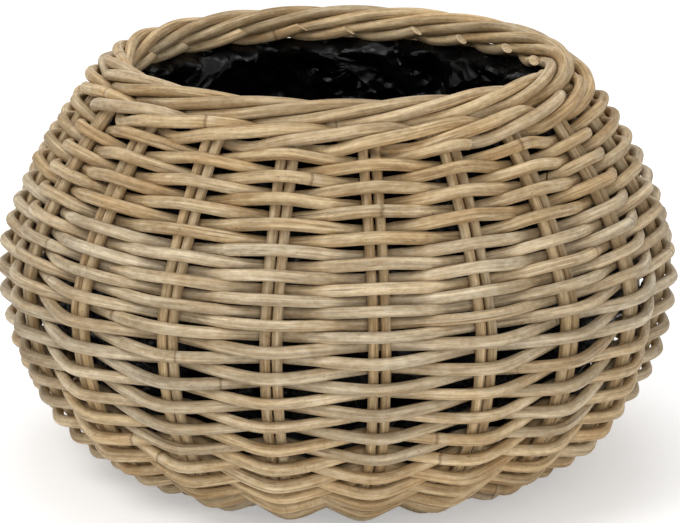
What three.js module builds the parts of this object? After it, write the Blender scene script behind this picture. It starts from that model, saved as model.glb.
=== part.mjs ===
// Round woven rattan planter with a black film liner and a rolled border.
// Millimetres, +Z up, standing on z = 0 with its axis on the Z axis.
//
// The basket is a stake and strand weave. Twenty long rods cross under the floor, ten over ten,
// and rise as forty uprights in twenty pairs. Two weavers chase each other round the pairs, each
// in front of every other pair. A three rod wale closes the wall, and one rod of every pair is
// bent down into a rope that rolls round a core hoop: that is the border.
import * as THREE from 'three';

// Driving sizes
const bodyDiameter = 508;         // widest, over the weave
const overallHeight = 309;        // floor to the crest of the border
const bellyHeight = 157;          // floor to the widest place
const baseDiameter = 248;         // flat part of the floor
const rimDiameter = 324;          // circle that the core hoop follows
const footRoundness = 2.1;        // exponent of the curve from floor to belly
const shoulderRoundness = 1.5;    // exponent of the curve from belly to rim
const stakeThickness = 7.4;       // rods of the pairs
const weaverThickness = 7.6;      // strands of the wall
const weaverOutset = 4.2;         // weaver's centre line to its outer edge
const weaverInset = 3.3;          // weaver's centre line to its inner edge
const floorWeaverThickness = 7.6;
const tieThickness = 5;           // thin cane round the crossing of the rods
const coreThickness = 6.4;        // hoop inside the border
const linerThickness = 1.2;
const fit = 0.35;                 // clearance between pieces that touch
const rowGap = 0.6;               // clearance between strands that lie on each other
const rowCrowding = 0.05;         // share by which the rows lie closer at the rim than on the average
const weaveGap = 0.6;             // clearance between a weaver and the uprights
const tieRounds = 3;
const tieStartGap = 8;            // crossing to the first round of the tie
const firstRowDiameter = 186;     // innermost row of the floor weave
const pairsPerQuarter = 5;
const piecesPerWeaver = 11;       // lengths that each of the two weavers is pieced from

// Counts and angles
const pairCount = 4 * pairsPerQuarter;
const pairAngle = 2 * Math.PI / pairCount;
const seamPair = pairsPerQuarter + 1;      // weavers are pieced at the back
const halfStake = stakeThickness / 2;
const halfWeaver = weaverThickness / 2;
const halfFloorWeaver = floorWeaverThickness / 2;
const stakeOffset = halfStake + fit / 2;   // upright's centre to the middle of its pair
const pairHalfWidth = stakeOffset + halfStake;

// Border: one core with six strands round it
const borderStrandRadius = halfStake;
const borderStrandHalfWidth = 4;
const windPerPair = Math.PI / 3;
const windLead = windPerPair / 5;          // wind already made where a rod leaves its pair
const windTurn = 23 / 12 * Math.PI;
const windSteps = 9;
const windRadius = (coreThickness / 2 + fit) / Math.cos(windTurn / windSteps / 2) + borderStrandRadius;
const borderRadius = windRadius + borderStrandRadius;
const rimHeight = overallHeight - borderRadius;

// Floor: uprights run in this plane, and the bows of the floor weavers reach down to z = 0
const floorBow = halfStake + weaveGap + halfFloorWeaver;
const floorPlane = floorBow + halfFloorWeaver;
const baseRadius = baseDiameter / 2;
const rimRadius = rimDiameter / 2;

// Distance that a straight run of weaver needs from the stakes, at the edge of a pair.
// The run goes from a bow outside one pair to a bow inside the next.
function bows(radius, outwardness, inner, outer) {
  const upness = 1 - outwardness * outwardness;
  const needOut = halfStake + weaveGap + inner;
  const needIn = halfStake + weaveGap + outer;
  let out = needOut;
  let into = needIn;
  for (let pass = 0; pass < 30; pass += 1) {
    const outRadius = radius + out * outwardness;
    const inRadius = radius - into * outwardness;
    const fallTo = outwardness * (inRadius * Math.cos(pairAngle) - radius) - upness * into;
    const riseTo = outwardness * (outRadius * Math.cos(pairAngle) - radius) + upness * out;
    out = needOut + pairHalfWidth * (out - fallTo) / (inRadius * Math.sin(pairAngle));
    into = needIn + pairHalfWidth * (riseTo + into) / (outRadius * Math.sin(pairAngle));
  }
  return { out, into };
}

// The belly's mid surface lies inside the outermost bows
let bellyRadius = bodyDiameter / 2;
for (let pass = 0; pass < 20; pass += 1) {
  bellyRadius = bodyDiameter / 2 - weaverOutset - bows(bellyRadius, 1, weaverInset, weaverOutset).out;
}

// Mid surface of the uprights as a profile, by its length from the middle of the floor
const profile = makeProfile();

function makeProfile() {
  const steps = 400;
  const points = [[0, floorPlane]];
  const drop = bellyHeight - floorPlane;
  for (let i = 0; i <= steps; i += 1) {
    const turn = 0.5 * Math.PI * i / steps;
    const r = baseRadius + (bellyRadius - baseRadius) * Math.sin(turn) ** (2 / footRoundness);
    points.push([r, bellyHeight - drop * Math.cos(turn) ** (2 / footRoundness)]);
  }
  const share = rimRadius / bellyRadius;
  const rise = (rimHeight - bellyHeight) / (1 - share ** shoulderRoundness) ** (1 / shoulderRoundness);
  const last = Math.acos(share ** (shoulderRoundness / 2));
  for (let i = 1; i <= steps; i += 1) {
    const turn = last * i / steps;
    const r = bellyRadius * Math.cos(turn) ** (2 / shoulderRoundness);
    points.push([r, bellyHeight + rise * Math.sin(turn) ** (2 / shoulderRoundness)]);
  }
  const lengths = [0];
  for (let i = 1; i < points.length; i += 1) {
    const [r0, z0] = points[i - 1];
    const [r1, z1] = points[i];
    lengths.push(lengths[i - 1] + Math.hypot(r1 - r0, z1 - z0));
  }
  return { points, lengths, total: lengths[lengths.length - 1] };
}

function onProfile(length) {
  const { points, lengths } = profile;
  let i = 1;
  while (i < points.length - 1 && lengths[i] < length) i += 1;
  const share = (length - lengths[i - 1]) / (lengths[i] - lengths[i - 1]);
  const [r0, z0] = points[i - 1];
  const [r1, z1] = points[i];
  return [r0 + (r1 - r0) * share, z0 + (z1 - z0) * share];
}

// Heights along the profile, counted from the core hoop downwards
const waleMiddle = profile.total - borderRadius - fit - weaverThickness - rowGap / 2;
const topRow = waleMiddle - 1.5 * (weaverThickness + rowGap) - halfWeaver / 2;
const cutTop = profile.total - borderRadius - 2 * fit - halfStake;
const bendStart = cutTop - fit;

// Bends of an upright: even steps from the edge of the floor to just under the border
const wallBends = 7;
const bends = [];
for (let i = 0; i <= wallBends; i += 1) {
  const length = baseRadius + (bendStart - baseRadius) * i / wallBends;
  const [r, z] = onProfile(length);
  const step = 4;
  const [rBefore, zBefore] = onProfile(Math.max(length - step, 0));
  const [rAfter, zAfter] = onProfile(Math.min(length + step, profile.total));
  const run = Math.hypot(rAfter - rBefore, zAfter - zBefore);
  const out = i === 0 ? 0 : (zAfter - zBefore) / run;
  const up = i === 0 ? -1 : -(rAfter - rBefore) / run;
  bends.push({ length, r, z, out, up });
}

// Place and outward direction on the bent uprights, at a length along the profile
function onStake(length) {
  if (length <= baseRadius) return { r: length, z: floorPlane, out: 0, up: -1 };
  let i = 1;
  while (i < wallBends && bends[i].length < length) i += 1;
  const low = bends[i - 1];
  const high = bends[i];
  const share = (length - low.length) / (high.length - low.length);
  const out = low.out + (high.out - low.out) * share;
  const up = low.up + (high.up - low.up) * share;
  const size = Math.hypot(out, up);
  return {
    r: low.r + (high.r - low.r) * share,
    z: low.z + (high.z - low.z) * share,
    out: out / size,
    up: up / size,
  };
}

// A ring of corners for each station makes a closed strand with flat ends
function strand(rings) {
  const sides = rings[0].length;
  const positions = rings.flat().flatMap((corner) => [corner.x, corner.y, corner.z]);
  const index = [];
  for (let i = 0; i + 1 < rings.length; i += 1) {
    for (let j = 0; j < sides; j += 1) {
      const a = i * sides + j;
      const b = i * sides + (j + 1) % sides;
      index.push(a, b, b + sides, a, b + sides, a + sides);
    }
  }
  const end = (rings.length - 1) * sides;
  for (let j = 1; j + 1 < sides; j += 1) {
    index.push(0, j + 1, j);
    index.push(end, end + j, end + j + 1);
  }
  const geometry = new THREE.BufferGeometry();
  geometry.setAttribute('position', new THREE.Float32BufferAttribute(positions, 3));
  geometry.setIndex(volume(positions, index) < 0 ? index.reverse() : index);
  geometry.computeVertexNormals();
  return geometry;
}

function volume(positions, index) {
  const corner = (i) => new THREE.Vector3().fromArray(positions, 3 * i);
  let sum = 0;
  for (let i = 0; i < index.length; i += 3) {
    sum += corner(index[i]).dot(corner(index[i + 1]).cross(corner(index[i + 2])));
  }
  return sum / 6;
}

// A weaver's corners in the upright plane at an angle: across is along the profile
const weaverOutline = [[weaverOutset, 0], [0, halfWeaver], [-weaverInset, 0], [0, -halfWeaver]];
const floorOutline = [[1, 1], [-1, 1], [-1, -1], [1, -1]]
  .map(([a, b]) => [a * halfFloorWeaver, b * halfFloorWeaver]);

function ringAt(angle, length, bow, outline) {
  const at = onStake(length);
  return outline.map(([outward, along]) => {
    const r = at.r + (bow + outward) * at.out - along * at.up;
    const z = at.z + (bow + outward) * at.up + along * at.out;
    return new THREE.Vector3(r * Math.cos(angle), r * Math.sin(angle), z);
  });
}

function between(ringA, ringB, share) {
  return ringA.map((corner, i) => corner.clone().lerp(ringB[i], share));
}

// Both ends of a piece stop just short of the next piece's ends
function trimmed(rings) {
  const last = rings.length - 1;
  const shareOf = (a, b) => fit / a[0].distanceTo(b[0]);
  const start = between(rings[0], rings[1], shareOf(rings[0], rings[1]));
  const end = between(rings[last], rings[last - 1], shareOf(rings[last], rings[last - 1]));
  return [start, ...rings.slice(1, last), end];
}

// Rows of the plain weave, counted from the middle of the floor. Two weavers lie one row apart,
// and each climbs two rows a lap.
const firstRow = firstRowDiameter / 2 + halfFloorWeaver;
const floorPitch = floorWeaverThickness + rowGap;
const floorRows = Math.floor((baseRadius - halfFloorWeaver - firstRow) / floorPitch) + 1;
const lastFloorRow = firstRow + (floorRows - 1) * floorPitch;
const firstWallRow = lastFloorRow + halfFloorWeaver + halfWeaver + rowGap;
const wallSpan = topRow - firstWallRow;
const wallRows = Math.floor(wallSpan * (1 - rowCrowding) / (weaverThickness + rowGap)) + 1;
const rowCount = floorRows + wallRows;

function rowLength(row) {
  if (row <= floorRows - 1) return firstRow + row * floorPitch;
  if (row < floorRows) return lastFloorRow + (firstWallRow - lastFloorRow) * (row - floorRows + 1);
  const share = (row - floorRows) / (wallRows - 1);
  return firstWallRow + wallSpan * (share + rowCrowding * share * (1 - share));
}

// Where pairs stand close, a bow runs level across its pair; elsewhere it peaks at the middle
const closePairs = 6 * pairHalfWidth;
const sagShare = 0.6;             // part of a straight run's sag that its two ends make up for

function weaverRings(row, pair, inFront) {
  const onFloor = row < floorRows - 0.5;
  const length = rowLength(row);
  const outline = onFloor ? floorOutline : weaverOutline;
  const at = onStake(length);
  const level = 2 * at.r * Math.sin(pairAngle / 2) < closePairs;
  const half = level ? Math.asin((pairHalfWidth + weaveGap) / at.r) : 0;
  const crown = at.out * at.r * (1 - Math.cos(half));
  const flat = {
    out: halfStake + weaveGap + weaverInset + crown,
    into: halfStake + weaveGap + weaverOutset - crown,
  };
  const onWall = level ? flat : bows(at.r, at.out, weaverInset, weaverOutset);
  const { out, into } = onFloor ? { out: floorBow, into: floorBow } : onWall;
  const sag = at.r * (1 - Math.cos(pairAngle / 2 - half));
  const place = length - sagShare * sag * at.up;
  const turns = level ? [-half, half] : [0];
  return turns.map((turn) => ringAt(pair * pairAngle + turn, place, inFront ? out : -into, outline));
}

const planter = new THREE.Group();

function add(name, geometry, material) {
  const mesh = new THREE.Mesh(geometry, material);
  mesh.name = name;
  planter.add(mesh);
}

function rattan(hue, saturation, lightness) {
  const color = new THREE.Color().setHSL(hue, saturation, lightness);
  return new THREE.MeshStandardMaterial({ color, roughness: 0.6, metalness: 0 });
}

// One weaver passes in front of the even pairs and the other in front of the odd ones. Both are
// pieced end to end behind a pair.
for (const first of [0, 1]) {
  const inFront = (pair) => (first + pair) % 2 === 0;
  const pairsPassed = (rowCount - 1 - first) * pairCount / 2;
  const firstBehind = inFront(seamPair) ? 1 : 0;
  const joints = [0];
  for (let piece = 1; piece < piecesPerWeaver; piece += 1) {
    joints.push(firstBehind + 2 * Math.round(pairsPassed * piece / piecesPerWeaver / 2));
  }
  joints.push(pairsPassed);
  const rings = [];
  for (let i = 0; i <= pairsPassed; i += 1) {
    rings.push(weaverRings(first + 2 * i / pairCount, seamPair + i, inFront(seamPair + i)));
  }
  joints.slice(1).forEach((joint, i) => {
    const name = `weaver_${first === 0 ? 'a' : 'b'}_${String(i + 1).padStart(2, '0')}`;
    const whole = [...rings.slice(joints[i], joint).flat(), rings[joint][0]];
    add(name, strand(trimmed(whole)), rattan(0.1, 0.34, 0.56));
  });
}

// Three rod wale: each strand passes in front of two pairs and behind one
const waleArch = 1.5;             // how far a strand arches out between its two pairs
const waleBow = bowOfWale();

function bowOfWale() {
  const halfRun = onStake(waleMiddle).r * Math.sin(pairAngle / 2);
  const need = halfStake + weaveGap + weaverOutset;
  return need / (1 - pairHalfWidth / halfRun) + pairHalfWidth * Math.tan(pairAngle / 2);
}

function waleRings(first) {
  const stack = (weaverThickness + rowGap) / 2;
  const steps = [
    [waleBow, -stack],
    [waleBow + waleArch, 0],
    [waleBow, stack],
    [0, stack + rowGap],
    [-waleBow, 0],
    [0, -stack - rowGap],
  ];
  const rings = [];
  for (let i = 0; i <= 2 * pairCount; i += 1) {
    const [outward, along] = steps[(i + 2 * first) % steps.length];
    const angle = (seamPair + i / 2) * pairAngle;
    rings.push(ringAt(angle, waleMiddle + along, outward, weaverOutline));
  }
  return rings;
}

for (let i = 0; i < 3; i += 1) {
  add(`wale_strand_${i + 1}`, strand(trimmed(waleRings(i))), rattan(0.1, 0.36, 0.58));
}

// Thin cane tied round the crossing: over one set of rods and under the other
const crossPitch = 2 * pairHalfWidth + fit;
const crossDrop = halfStake + fit / 2;
const crossReach = crossPitch / Math.sin(pairAngle);
const tieStart = crossReach + tieStartGap;
const levelRadius = firstRowDiameter / 2;
const crossShare = 0.97;          // the tie changes from over to under within the rest of a quarter

function crossLevel(radius) {
  const share = (levelRadius - radius) / (levelRadius - crossReach);
  return crossDrop * Math.min(Math.max(share, 0), 1);
}

function tieRings() {
  const rings = [];
  const pitch = tieThickness + rowGap;
  const half = tieThickness / 2;
  for (let quarter = 0; quarter < 4 * tieRounds; quarter += 1) {
    const over = quarter % 2 === 0 ? 1 : -1;
    for (const share of [-crossShare, -0.5, 0, 0.5, crossShare]) {
      const angle = (quarter + share / 2) * Math.PI / 2;
      const radius = tieStart + pitch * (quarter + share / 2) / 4;
      const z = floorPlane + over * (halfStake + fit + half - crossLevel(radius));
      rings.push([[1, 1], [-1, 1], [-1, -1], [1, -1]].map(([a, b]) => {
        const r = radius + a * half;
        return new THREE.Vector3(r * Math.cos(angle), r * Math.sin(angle), z + b * half);
      }));
    }
  }
  return rings;
}

add('floor_tie', strand(tieRings()), rattan(0.1, 0.28, 0.46));

// Uprights. Stations hold the middle of the pair, the direction across it and the outward one.
function wallStation(bend, angle) {
  const radial = new THREE.Vector3(Math.cos(angle), Math.sin(angle), 0);
  return {
    middle: radial.clone().multiplyScalar(bend.r).setZ(bend.z),
    across: new THREE.Vector3(-Math.sin(angle), Math.cos(angle), 0),
    outward: radial.clone().multiplyScalar(bend.out).setZ(bend.up),
  };
}

function squareRing(station, offset) {
  return [[1, 1], [-1, 1], [-1, -1], [1, -1]].map(([a, b]) => station.middle.clone()
    .addScaledVector(station.across, offset + a * halfStake)
    .addScaledVector(station.outward, b * halfStake));
}

// Border strand: bent over at its own pair, then wound round the core towards smaller angles.
// Wind angles are counted round the core from the upward direction of the wall, inside first.
const wallEnd = onStake(profile.total);
const wallUp = { r: -wallEnd.up, z: wallEnd.out };
const wallOut = { r: wallEnd.out, z: wallEnd.up };
const windStart = 5 * Math.PI / 6;

function windPoint(angle, wind, radius) {
  const along = radius * Math.cos(wind);
  const outward = -radius * Math.sin(wind);
  const r = rimRadius + along * wallUp.r + outward * wallOut.r;
  const z = rimHeight + along * wallUp.z + outward * wallOut.z;
  return new THREE.Vector3(r * Math.cos(angle), r * Math.sin(angle), z);
}

function windRings(pairAt) {
  const rings = [];
  const corners = [[0, 1], [-1, 0], [0, -1], [1, 0]];
  for (let i = 0; i <= windSteps; i += 1) {
    const turned = windLead + (windTurn - windLead) * i / windSteps;
    const angle = pairAt - turned / windPerPair * pairAngle;
    const wind = windStart - turned;
    rings.push(corners.map(([side, out]) => {
      const radius = windRadius + out * borderStrandRadius;
      const spread = Math.atan2(side * borderStrandHalfWidth, windRadius);
      return windPoint(angle, wind + spread, side === 0 ? radius : windRadius / Math.cos(spread));
    }));
  }
  return rings;
}

// A rod of pair k of its set, k counted from the middle pair: side is which rod of the pair
function rodRings(k, side, drop) {
  const near = k * pairAngle;
  const far = Math.PI - near;
  const floorPoint = (angle, radius, sign) => {
    const station = wallStation({ r: radius, z: floorPlane - drop * crossLevel(radius), out: 0, up: -1 }, angle);
    if (sign < 0) station.across.negate();
    return station;
  };
  const turnRadius = k === 0 ? crossReach : Math.abs(k * crossPitch / Math.sin(near));
  const corner = (angle, sign) => {
    const station = floorPoint(angle, turnRadius, sign);
    const halfTurn = near / 2 * sign;
    station.across.set(0, 1, 0).applyAxisAngle(new THREE.Vector3(0, 0, 1), halfTurn);
    station.across.divideScalar(Math.cos(halfTurn));
    station.middle.setZ(floorPlane - drop * crossDrop);
    return station;
  };
  const farBends = bends.map((bend) => wallStation(bend, far)).reverse();
  for (const station of farBends) station.across.negate();
  const stations = [
    ...farBends,
    floorPoint(far, levelRadius, -1),
    corner(far, -1),
    corner(near, 1),
    floorPoint(near, levelRadius, 1),
    ...bends.map((bend) => wallStation(bend, near)),
  ];
  return stations.map((station) => squareRing(station, side * stakeOffset));
}

for (const set of [0, 1]) {
  for (let k = -(pairsPerQuarter - 1) / 2; k <= (pairsPerQuarter - 1) / 2; k += 1) {
    for (const side of [1, -1]) {
      const rings = rodRings(k, side, set === 0 ? 1 : -1);
      const pairAt = side > 0 ? k * pairAngle : Math.PI - k * pairAngle;
      const wound = windRings(pairAt);
      const whole = side > 0 ? [...rings, ...wound] : [...wound.reverse(), ...rings];
      const geometry = strand(whole);
      if (set === 1) geometry.rotateZ(Math.PI / 2);
      const number = set * 2 * pairsPerQuarter + (k + (pairsPerQuarter - 1) / 2) * 2 + (side > 0 ? 1 : 2);
      add(`rod_${String(number).padStart(2, '0')}`, geometry, rattan(0.1, 0.38, 0.54));
    }
  }
}

// Core hoop inside the border, open where its two ends meet
function coreRings() {
  const rings = [];
  const radius = coreThickness / 2;
  for (let i = 0; i <= 2 * pairCount; i += 1) {
    const angle = (seamPair + i / 2) * pairAngle;
    rings.push([0, 1, 2, 3].map((j) => windPoint(angle, j * Math.PI / 2, radius)));
  }
  return trimmed(rings);
}

add('border_core', strand(coreRings()), rattan(0.1, 0.3, 0.44));

// Liner: an open bag of film that rests against the inner bows and hangs in folds
const linerStep = 12;             // least length of a band of the liner
const foldCount = 24;
const foldDepth = 9;
const foldSway = Math.PI / foldCount / 2;  // angle by which a fold sways on its way down
const foldSwings = 3;             // times that it sways to one side

// Outer and inner outline of the film as [radius, height], from the floor's edge up
function linerOutlines() {
  const waleFoot = waleMiddle - weaverThickness - rowGap;
  const bendLengths = bends.slice(1).map((bend) => bend.length);
  const lengths = [
    baseRadius,
    (baseRadius + bendLengths[0]) / 2,
    ...bendLengths.filter((length) => length < waleFoot - linerStep),
    waleFoot,
    bendStart,
  ];
  const outer = lengths.map((length) => {
    const at = onStake(length);
    const bow = length < waleFoot ? bows(at.r, at.out, weaverInset, weaverOutset).into : waleBow;
    const depth = fit + (length > baseRadius ? bow + weaverInset : floorBow + halfFloorWeaver);
    return [at.r - depth * at.out, at.z - depth * at.up];
  });
  const inner = outer.map(([r, z], i) => {
    const before = i === 0 ? [0, z] : outer[i - 1];
    const after = outer[Math.min(i + 1, outer.length - 1)];
    const run = Math.hypot(after[0] - before[0], after[1] - before[1]);
    const share = linerThickness / run;
    return i === 0 ? [r, z + linerThickness]
      : [r - share * (after[1] - before[1]), z + share * (after[0] - before[0])];
  });
  return { outer, inner };
}

// Every other column of corners is pushed inwards, least at the floor and at the border. Both
// skins are cut into the same triangles, so the film keeps its thickness in the folds.
function linerGeometry() {
  const { outer, inner } = linerOutlines();
  const columns = 2 * foldCount;
  const low = outer[0][1];
  const high = outer[outer.length - 1][1];
  const corners = [];
  const ring = (r, z, rise) => {
    for (let column = 0; column < columns; column += 1) {
      const push = column % 2 === 0 ? 0 : foldDepth * Math.sin(Math.PI * rise);
      const sway = foldSway * Math.sin(foldSwings * Math.PI * rise);
      const angle = 2 * Math.PI * column / columns + sway;
      corners.push(new THREE.Vector3((r - push) * Math.cos(angle), (r - push) * Math.sin(angle), z));
    }
  };
  const bands = outer.length - 1;
  for (const skin of [outer, inner]) {
    skin.forEach(([r, z], i) => ring(r, z, (outer[i][1] - low) / (high - low)));
  }
  const poles = [outer, inner].map((skin) => corners.push(new THREE.Vector3(0, 0, skin[0][1])) - 1);
  const index = [];
  const quad = (a, b, c, d, cutFromFirst) => {
    index.push(...(cutFromFirst ? [a, b, c, a, c, d] : [a, b, d, b, c, d]));
  };
  for (let column = 0; column < columns; column += 1) {
    const next = (column + 1) % columns;
    const at = (skin, band, side) => (skin * (bands + 1) + band) * columns + side;
    for (let band = 0; band < bands; band += 1) {
      const rising = column % 2 === 0;
      quad(at(0, band, column), at(0, band, next), at(0, band + 1, next), at(0, band + 1, column), rising);
      quad(at(1, band, next), at(1, band, column), at(1, band + 1, column), at(1, band + 1, next), !rising);
    }
    quad(at(0, bands, column), at(0, bands, next), at(1, bands, next), at(1, bands, column), true);
    index.push(poles[0], at(0, 0, next), at(0, 0, column));
    index.push(poles[1], at(1, 0, column), at(1, 0, next));
  }
  const geometry = new THREE.BufferGeometry();
  geometry.setAttribute('position', new THREE.Float32BufferAttribute(corners.flatMap((c) => [c.x, c.y, c.z]), 3));
  geometry.setIndex(index);
  geometry.computeVertexNormals();
  return geometry;
}

add('liner', linerGeometry(), new THREE.MeshStandardMaterial({ color: 0x0c0c0c, roughness: 0.35, metalness: 0 }));

export default planter;
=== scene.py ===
"""Round rattan planter: a stake and strand basket with a rolled border and a black film liner.

Metres, +Z up, standing on the floor with its axis on the Z axis and its front towards -Y.
"""
import math
import random

import bmesh
import bpy
from mathutils import Matrix, Vector, noise


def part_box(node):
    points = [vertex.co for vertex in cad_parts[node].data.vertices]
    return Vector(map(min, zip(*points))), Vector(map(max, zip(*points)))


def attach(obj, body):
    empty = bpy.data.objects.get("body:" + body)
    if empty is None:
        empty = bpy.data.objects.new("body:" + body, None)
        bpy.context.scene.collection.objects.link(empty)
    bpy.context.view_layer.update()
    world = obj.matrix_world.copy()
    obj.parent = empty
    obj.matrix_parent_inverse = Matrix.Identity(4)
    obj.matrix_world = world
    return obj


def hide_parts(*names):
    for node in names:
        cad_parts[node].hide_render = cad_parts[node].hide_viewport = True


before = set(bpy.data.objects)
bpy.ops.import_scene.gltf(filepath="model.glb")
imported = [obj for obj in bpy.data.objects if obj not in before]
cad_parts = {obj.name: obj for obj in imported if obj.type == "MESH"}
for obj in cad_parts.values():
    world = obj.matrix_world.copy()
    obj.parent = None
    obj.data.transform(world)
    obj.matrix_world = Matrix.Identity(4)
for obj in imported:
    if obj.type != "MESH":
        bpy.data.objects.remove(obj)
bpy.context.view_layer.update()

bl_info = {
    "name": "Rattan planter",
    "version": (1, 0, 0),
    "blender": (4, 5, 0),
    "location": "View3D > Sidebar > Planter",
    "description": "Builds a woven rattan planter with its rolled border and film liner",
    "category": "Object",
}

PAIRS = 20
PAIR_ANGLE = 2 * math.pi / PAIRS
SEAM_PAIR = 6            # where the weavers, the wale and the core hoop start
PIECES_PER_WEAVER = 11
# How far, in degrees, a maker's hand set the front pairs off their even places
SHIFTED_FROM = 11
PAIR_SHIFTS = (0, -1.5, -0.5, 1, 1, 0.5, 0.5, -0.5, -0.5)
BODY = "root"
WHITE = (1, 1, 1, 1)


def millimetres(title, words, value):
    """A length that a user can change, given in millimetres."""
    return bpy.props.FloatProperty(
        name=title, description=words, default=value / 1000, min=0, precision=5, unit="LENGTH"
    )


def tint(title, words, red, green, blue):
    """A colour that a user can change, given as it looks on screen, 0 to 255."""
    def linear(level):
        share = level / 255
        return share / 12.92 if share <= 0.04045 else ((share + 0.055) / 1.055) ** 2.4

    return bpy.props.FloatVectorProperty(
        name=title,
        description=words,
        default=(linear(red), linear(green), linear(blue)),
        size=3,
        min=0,
        max=1,
        subtype="COLOR",
    )


class PlanterSizes(bpy.types.PropertyGroup):
    """Real sizes of the planter."""

    belly_radius: millimetres("Belly radius", "Axis to the uprights' middle at the widest place", 238.8)
    belly_height: millimetres("Belly height", "Floor to the widest place", 157)
    base_radius: millimetres("Base radius", "Flat part of the floor", 124)
    floor_plane: millimetres("Floor plane", "Ground to the middle of the rods under the floor", 11.9)
    rim_radius: millimetres("Rim radius", "Circle that the core hoop follows", 160.7)
    rim_height: millimetres("Rim height", "Ground to the middle of the core hoop", 297.3)
    rod: millimetres("Rod", "Mean thickness of the rods of the pairs", 7.3)
    rod_gap: millimetres("Rod gap", "Gap between the two rods of a pair", 0.9)
    border_rod: millimetres("Border rod", "Thickness of the rods' thick ends in the border", 8.3)
    weaver_least: millimetres("Thinnest weaver", "Least thickness of a weaver's canes", 7.9)
    weaver_most: millimetres("Thickest weaver", "Largest thickness of a weaver's canes", 9.3)
    floor_weaver: millimetres("Floor weaver", "Thickness of the floor's weavers", 7.6)
    wale: millimetres("Wale", "Mean thickness of the strands of the wale", 9)
    tie: millimetres("Tie", "Thickness of the cane tied round the crossing", 5)
    core: millimetres("Core", "Thickness of the hoop inside the border", 6)
    film: millimetres("Film", "Thickness of the liner's film", 0.4)
    first_row: millimetres("First row", "Axis to the innermost row of the floor", 96.8)
    floor_pitch: millimetres("Floor pitch", "Row to row on the floor", 8.2)
    first_wall_row: millimetres("First wall row", "Floor's middle to the wall's lowest row", 121.6)
    top_row: millimetres("Top row", "Floor's middle to the wall's highest row", 461.2)
    floor_rows: bpy.props.IntProperty(name="Floor rows", description="Rows of the floor", default=3)
    wall_rows: bpy.props.IntProperty(name="Wall rows", description="Rows of the wall", default=40)
    crowding: bpy.props.FloatProperty(
        name="Crowding",
        description="How much closer the rows lie at the rim than on the average",
        default=0.08,
    )


class PlanterColours(bpy.types.PropertyGroup):
    """Colours of the rattan and of the film."""

    straw: tint("Straw", "Pale, dry rattan", 206, 181, 139)
    tan: tint("Tan", "Warm rattan", 182, 148, 101)
    grey: tint("Grey", "Weathered rattan", 180, 161, 131)
    silver: tint("Silver", "Bleached bark", 206, 191, 164)
    brown: tint("Brown", "Nodes, specks and cracks", 92, 66, 38)
    pith: tint("Pith", "Fresh cut ends", 226, 205, 170)
    film: tint("Film", "Black film of the liner", 7, 7, 7)
    dust: bpy.props.FloatVectorProperty(
        name="Dust",
        description="Dusty places of the film",
        default=(0.006, 0.006, 0.0055),
        size=3,
        min=0,
        max=1,
        subtype="COLOR",
    )
    ground: tint("Ground", "Floor that the planter stands on", 244, 244, 244)


def sizes():
    return bpy.context.scene.planter_sizes


def colours():
    return bpy.context.scene.planter_colours


# Wall shape

def wall_points():
    """The uprights' middle from the floor's middle to the rim, as (length, radius, height)."""
    s = sizes()
    foot = 2.12          # roundness of the curve from the floor to the belly
    shoulder = 1.46      # roundness of the curve from the belly to the rim
    steps = 400
    points = [(0.0, s.floor_plane)]
    drop = s.belly_height - s.floor_plane
    for i in range(steps + 1):
        turn = 0.5 * math.pi * i / steps
        radius = s.base_radius + (s.belly_radius - s.base_radius) * math.sin(turn) ** (2 / foot)
        points.append((radius, s.belly_height - drop * max(math.cos(turn), 0) ** (2 / foot)))
    share = s.rim_radius / s.belly_radius
    rise = (s.rim_height - s.belly_height) / (1 - share ** shoulder) ** (1 / shoulder)
    last = math.acos(share ** (shoulder / 2))
    for i in range(1, steps + 1):
        turn = last * i / steps
        radius = s.belly_radius * math.cos(turn) ** (2 / shoulder)
        points.append((radius, s.belly_height + rise * math.sin(turn) ** (2 / shoulder)))
    wall, length = [(0.0, *points[0])], 0.0
    for (r0, z0), (r1, z1) in zip(points, points[1:]):
        length += math.hypot(r1 - r0, z1 - z0)
        wall.append((length, r1, z1))
    return wall


class Wall:
    """Gives the place and the outward direction at a length along the uprights."""

    def __init__(self):
        self.points = wall_points()
        self.total = self.points[-1][0]
        self.step = 0.004

    def place(self, length):
        points = self.points
        low, high = 0, len(points) - 1
        while high - low > 1:
            middle = (low + high) // 2
            if points[middle][0] < length:
                low = middle
            else:
                high = middle
        l0, r0, z0 = points[low]
        l1, r1, z1 = points[high]
        share = (length - l0) / (l1 - l0)
        return r0 + (r1 - r0) * share, z0 + (z1 - z0) * share

    def at(self, length):
        """(radius, height, outward share, upward share) of the wall and its outward direction."""
        radius, height = self.place(length)
        before = self.place(max(length - self.step, 0))
        after = self.place(min(length + self.step, self.total))
        run = math.hypot(after[0] - before[0], after[1] - before[1])
        return radius, height, (after[1] - before[1]) / run, -(after[0] - before[0]) / run

    def point(self, angle, length, bow=0.0):
        radius, height, out, up = self.at(length)
        radius += bow * out
        return Vector((radius * math.cos(angle), radius * math.sin(angle), height + bow * up))


def smooth_path(keys, steps):
    """A smooth run of points through the key points."""
    path = []
    for i in range(len(keys) - 1):
        before = keys[max(i - 1, 0)]
        start, end = keys[i], keys[i + 1]
        after = keys[min(i + 2, len(keys) - 1)]
        for k in range(steps):
            t = k / steps
            path.append(0.5 * (
                2 * start
                + (end - before) * t
                + (2 * before - 5 * start + 4 * end - after) * t * t
                + (3 * start - before - 3 * end + after) * t * t * t
            ))
    return [*path, keys[-1]]


def ripple(seed, *where):
    """Smooth noise from -1 to 1, the same again for the same seed and place."""
    seed_steps = (7.31, 3.17, 5.93)
    spot = Vector((*where, 0, 0)[:3]) + Vector([seed * step for step in seed_steps])
    return noise.noise(spot)


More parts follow.
